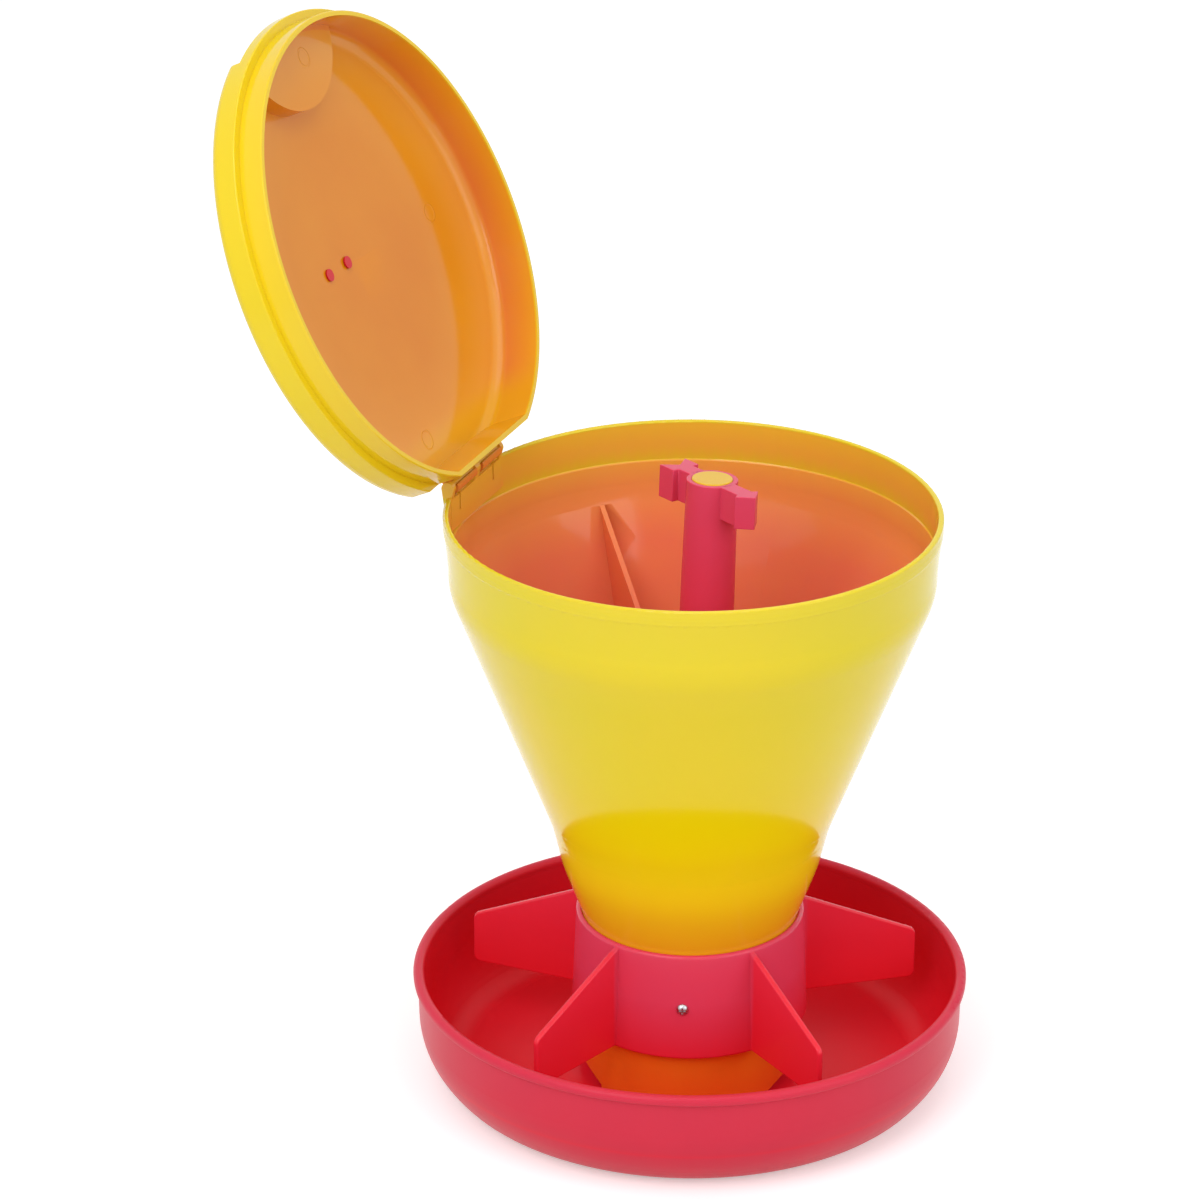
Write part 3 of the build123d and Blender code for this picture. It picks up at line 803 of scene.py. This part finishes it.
# %% [markdown]
# The outline is drawn twice, at both ends of the clip, and joined. A C is hollow, and one face
# over its whole end might be filled across the mouth. So the end is built from small faces, each
# between the outer arc and the bore.

# %% Clips of the lid
CLIP_NEAR, CLIP_FAR = 3.3, 25.8


def swing_open(mesh):
    turn = (Matrix.Translation(HINGE) @ Matrix.Rotation(-LID_OPEN, 4, "X")
            @ Matrix.Translation(-HINGE))
    bmesh.ops.transform(mesh, matrix=turn, verts=mesh.verts)


def clip(name, low, high):
    mesh = bmesh.new()
    sides = [[mesh.verts.new((x * MM, HINGE.y + y * MM, HINGE.z + z * MM))
              for y, z in clip_outline()] for x in (low, high)]
    joined(mesh, sides)
    for side in sides:
        for i in range(CLIP_STEPS):
            mesh.faces.new((side[i], side[i + 1], side[-2 - i], side[-1 - i]))
    swing_open(mesh)
    return finished_piece(name, mesh, clip_plastic, "lid")


clip("right_clip", CLIP_NEAR, CLIP_FAR)
clip("left_clip", -CLIP_FAR, -CLIP_NEAR)
print("clips of", round(CLIP_FAR - CLIP_NEAR, 1), "mm")

# %% [markdown]
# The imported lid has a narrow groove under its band, where the photograph shows only a fine line.
# A flat ring closes it. It is open at the back, where the lid is flat.

# %% Ring under the lid's band
BAND_INNER, BAND_OUTER = 114.6, 117.6
BAND_LOW, BAND_HIGH = 294.12, 295.0
BAND_GAP = math.radians(25.6)
BAND_STEPS = 160
BAND = [(BAND_INNER, BAND_LOW), (BAND_OUTER, BAND_LOW), (BAND_OUTER, BAND_HIGH),
        (BAND_INNER, BAND_HIGH)]

mesh = bmesh.new()
spun(mesh, lambda from_end: BAND, BAND_STEPS, BAND_GAP)
swing_open(mesh)
finished_piece("band_cover", mesh, lid_plastic, "lid")
print("ring under the band:", round(BAND_OUTER - BAND_INNER, 1), "mm wide")

# %% [markdown]
# The feeder stands on a white sweep with no visible horizon. The floor is a plain pale plane.
# Light Path tells the floor which rays come from the camera or a reflection, and adds a little
# white for those alone. So the floor looks white, keeps the soft shadow of the pan, and throws
# no more light on the object.

# %% Floor
FLOOR_SIZE = 12.0
FLOOR_LEVEL = -0.4 * MM
FLOOR_GREY = (0.82, 0.82, 0.82, 1)
FLOOR_ROUGHNESS = 0.7
FLOOR_LIFT = 0.4


def seen_or_reflected(tree):
    """1 for camera, glossy and transmission rays, and 0 for the rays that carry light."""
    rays = tree.nodes.new("ShaderNodeLightPath")
    either = calc(tree, "MAXIMUM", rays.outputs["Is Camera Ray"], rays.outputs["Is Glossy Ray"])
    return calc(tree, "MAXIMUM", either, rays.outputs["Is Transmission Ray"])


def floor_material():
    material = bpy.data.materials.new("pale floor")
    material.use_nodes = True
    tree = material.node_tree
    shader = tree.nodes["Principled BSDF"]
    shader.inputs["Base Color"].default_value = FLOOR_GREY
    shader.inputs["Roughness"].default_value = FLOOR_ROUGHNESS
    white = tree.nodes.new("ShaderNodeEmission")
    put(tree, white.inputs["Strength"], calc(tree, "MULTIPLY", seen_or_reflected(tree), FLOOR_LIFT))
    total = tree.nodes.new("ShaderNodeAddShader")
    put(tree, total.inputs[0], shader.outputs["BSDF"])
    put(tree, total.inputs[1], white.outputs["Emission"])
    put(tree, tree.nodes["Material Output"].inputs["Surface"], total.outputs["Shader"])
    return material


bpy.ops.mesh.primitive_plane_add(size=FLOOR_SIZE, location=(0, 0, FLOOR_LEVEL))
floor = bpy.context.object
floor.name = "floor"
floor.data.materials.append(floor_material())
print("floor:", FLOOR_SIZE, "m wide, lifted by", FLOOR_LIFT)

# %% [markdown]
# The world behind does the same as the floor: a faintly cool room for the rays that carry light,
# and clean white for those that are seen.

# %% World
ROOM_COLOUR, ROOM_STRENGTH = (0.97, 0.98, 1.0, 1), 0.68
WHITE, WHITE_STRENGTH = (1, 1, 1, 1), 1.0

world = bpy.data.worlds.new("studio")
bpy.context.scene.world = world
world.use_nodes = True
tree = world.node_tree
room = tree.nodes["Background"]
room.inputs["Color"].default_value = ROOM_COLOUR
room.inputs["Strength"].default_value = ROOM_STRENGTH
white = tree.nodes.new("ShaderNodeBackground")
white.inputs["Color"].default_value = WHITE
white.inputs["Strength"].default_value = WHITE_STRENGTH
choice = tree.nodes.new("ShaderNodeMixShader")
put(tree, choice.inputs["Fac"], seen_or_reflected(tree))
put(tree, choice.inputs[1], room.outputs["Background"])
put(tree, choice.inputs[2], white.outputs["Background"])
put(tree, tree.nodes["World Output"].inputs["Surface"], choice.outputs["Shader"])
print("room strength:", ROOM_STRENGTH)

# %% [markdown]
# Three large soft lamps give the long, calm reflections of a product photograph: a key lamp from
# the upper left of the camera, a weaker fill from the right, and a top lamp for the lid and rims.
# Each row says how far the lamp stands to the right of the camera's side and how high, both in
# degrees, how far away and how large it is, in metres, and its power in watts.

# %% Lamps
CAMERA_TURN = math.radians(-67.6)
LAMP_GOAL = Vector((0, 0, 0.2))
LAMPS = [("key lamp", -35, 40, 1.6, 1.0, 9),
         ("fill lamp", 50, 25, 1.8, 1.2, 6),
         ("top lamp", 10, 80, 1.6, 1.2, 6)]

for name, turn, rise, away, size, power in LAMPS:
    data = bpy.data.lights.new(name, "AREA")
    data.shape = "SQUARE"
    data.size = size
    data.energy = power
    light = bpy.data.objects.new(name, data)
    bpy.context.collection.objects.link(light)
    around = CAMERA_TURN - math.pi / 2 + math.radians(turn)
    up = math.radians(rise)
    light.location = LAMP_GOAL + away * Vector(
        (math.cos(around) * math.cos(up), math.sin(around) * math.cos(up), math.sin(up)))
    light.rotation_euler = (LAMP_GOAL - light.location).to_track_quat("-Z", "Y").to_euler()
print("lamps:", len(LAMPS))

# %% [markdown]
# The camera's place was worked out from the ellipses of the pan's lip and the hopper's rim: a
# long lens, about 2.5 m away, looking down by 24 degrees.

# %% Camera
CAMERA_PLACE = (-2.0148, -0.7832, 1.2005)
CAMERA_PITCH = math.radians(66.223)
LENS_MM, SENSOR_MM = 150.0, 36.0
FAR_END = 50.0

camera_data = bpy.data.cameras.new("camera")
camera_data.lens = LENS_MM
camera_data.sensor_width = SENSOR_MM
camera_data.sensor_fit = "HORIZONTAL"
camera_data.clip_end = FAR_END
camera = bpy.data.objects.new("camera", camera_data)
camera.location = CAMERA_PLACE
camera.rotation_euler = (CAMERA_PITCH, 0, CAMERA_TURN)
bpy.context.collection.objects.link(camera)
bpy.context.scene.camera = camera
bpy.context.scene.view_settings.view_transform = "Standard"
print("camera:", LENS_MM, "mm lens at", CAMERA_PLACE)
